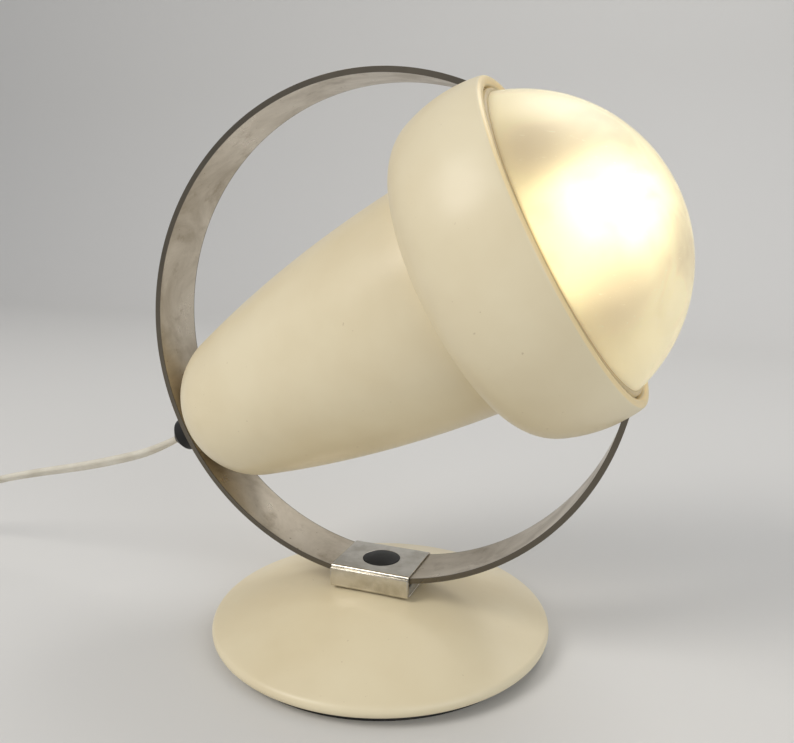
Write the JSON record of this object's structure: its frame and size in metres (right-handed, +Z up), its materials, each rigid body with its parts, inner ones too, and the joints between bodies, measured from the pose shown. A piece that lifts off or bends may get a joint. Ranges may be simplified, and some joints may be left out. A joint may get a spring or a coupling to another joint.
{
  "type": "table lamp",
  "caption": "Table lamp whose round head, with a frosted dome, is carried by an open ring of flat strip that slides through a bracket with a release button on a domed base.",
  "frame": {"origin": "on the surface the base stands on, under the middle of the base", "axes": "+Z up, +X the way the head points, +Y to the left seen from behind the head; the ring stands in the XZ plane"},
  "size_m": [0.4828, 0.213, 0.262],
  "materials": {
    "painted_body": "gloss",
    "chrome": "polished",
    "ring_metal": "brushed",
    "steel": "satin",
    "zinc_steel": "satin",
    "cast_iron": "rough",
    "felt": "felt",
    "black_plastic": "satin",
    "nylon": "satin",
    "frosted": "frosted",
    "cord": "satin",
    "cream_plastic": "satin",
    "brass": "satin",
    "ceramic": "glazed",
    "glass": "frosted",
    "aluminium": "satin"
  },
  "bodies": {
    "base": {"base_shell": "painted_body", "base_weight": "cast_iron", "base_cover": "zinc_steel", "base_pad": "felt", "bracket_bolt": "zinc_steel", "bolt_washer": "zinc_steel", "bolt_nut": "zinc_steel", "locating_pin": "zinc_steel", "bracket_channel": "chrome", "bracket_plate": "chrome", "brake_shoe": "nylon", "brake_spring": "steel", "cord_tube": "cord", "switch_base": "cream_plastic", "switch_cover": "cream_plastic", "rocker_pin": "steel", "switch_screws": "zinc_steel", "cord_tail": "cord", "cord_coil": "cord", "plug_body": "cream_plastic", "plug_pins": "brass"},
    "head_ring": {"ring_strip": "ring_metal", "ring_end_blocks": "nylon", "ring_end_screws": "zinc_steel", "head_body": "painted_body", "shade": "painted_body", "neck_screws": "zinc_steel", "diffuser": "frosted", "diffuser_clips": "steel", "threaded_stem": "brass", "stem_nuts": "brass", "nose_washer": "black_plastic", "cable_gland": "black_plastic", "inner_flex": "cord", "holder_cap": "black_plastic", "holder_skirt": "black_plastic", "holder_insert": "ceramic", "screw_shell": "brass", "centre_contact": "brass", "terminal_screws": "brass", "lamp_leads": "cord", "bulb_glass": "glass", "bulb_cap": "aluminium", "bulb_tip": "brass"},
    "button": {"release_button": "black_plastic"},
    "rocker": {"switch_rocker": "cream_plastic"}
  },
  "joints": [
    {"name": "ring_slide", "type": "hinge", "parent": "base", "child": "head_ring", "pos_m": [0, 0, 0.147], "axis": [0, -1, 0], "range_deg": [-50, 30]},
    {"name": "button_press", "type": "slide", "parent": "base", "child": "button", "axis": [0, 0, -1], "range_m": [0, 0.0008], "stiffness_N_per_m": 800},
    {"name": "cord_switch", "type": "hinge", "parent": "base", "child": "rocker", "pos_m": [-0.338, -0.064, 0.013], "axis": [-1, 0, 0], "range_deg": [0, 16]}
  ]
}
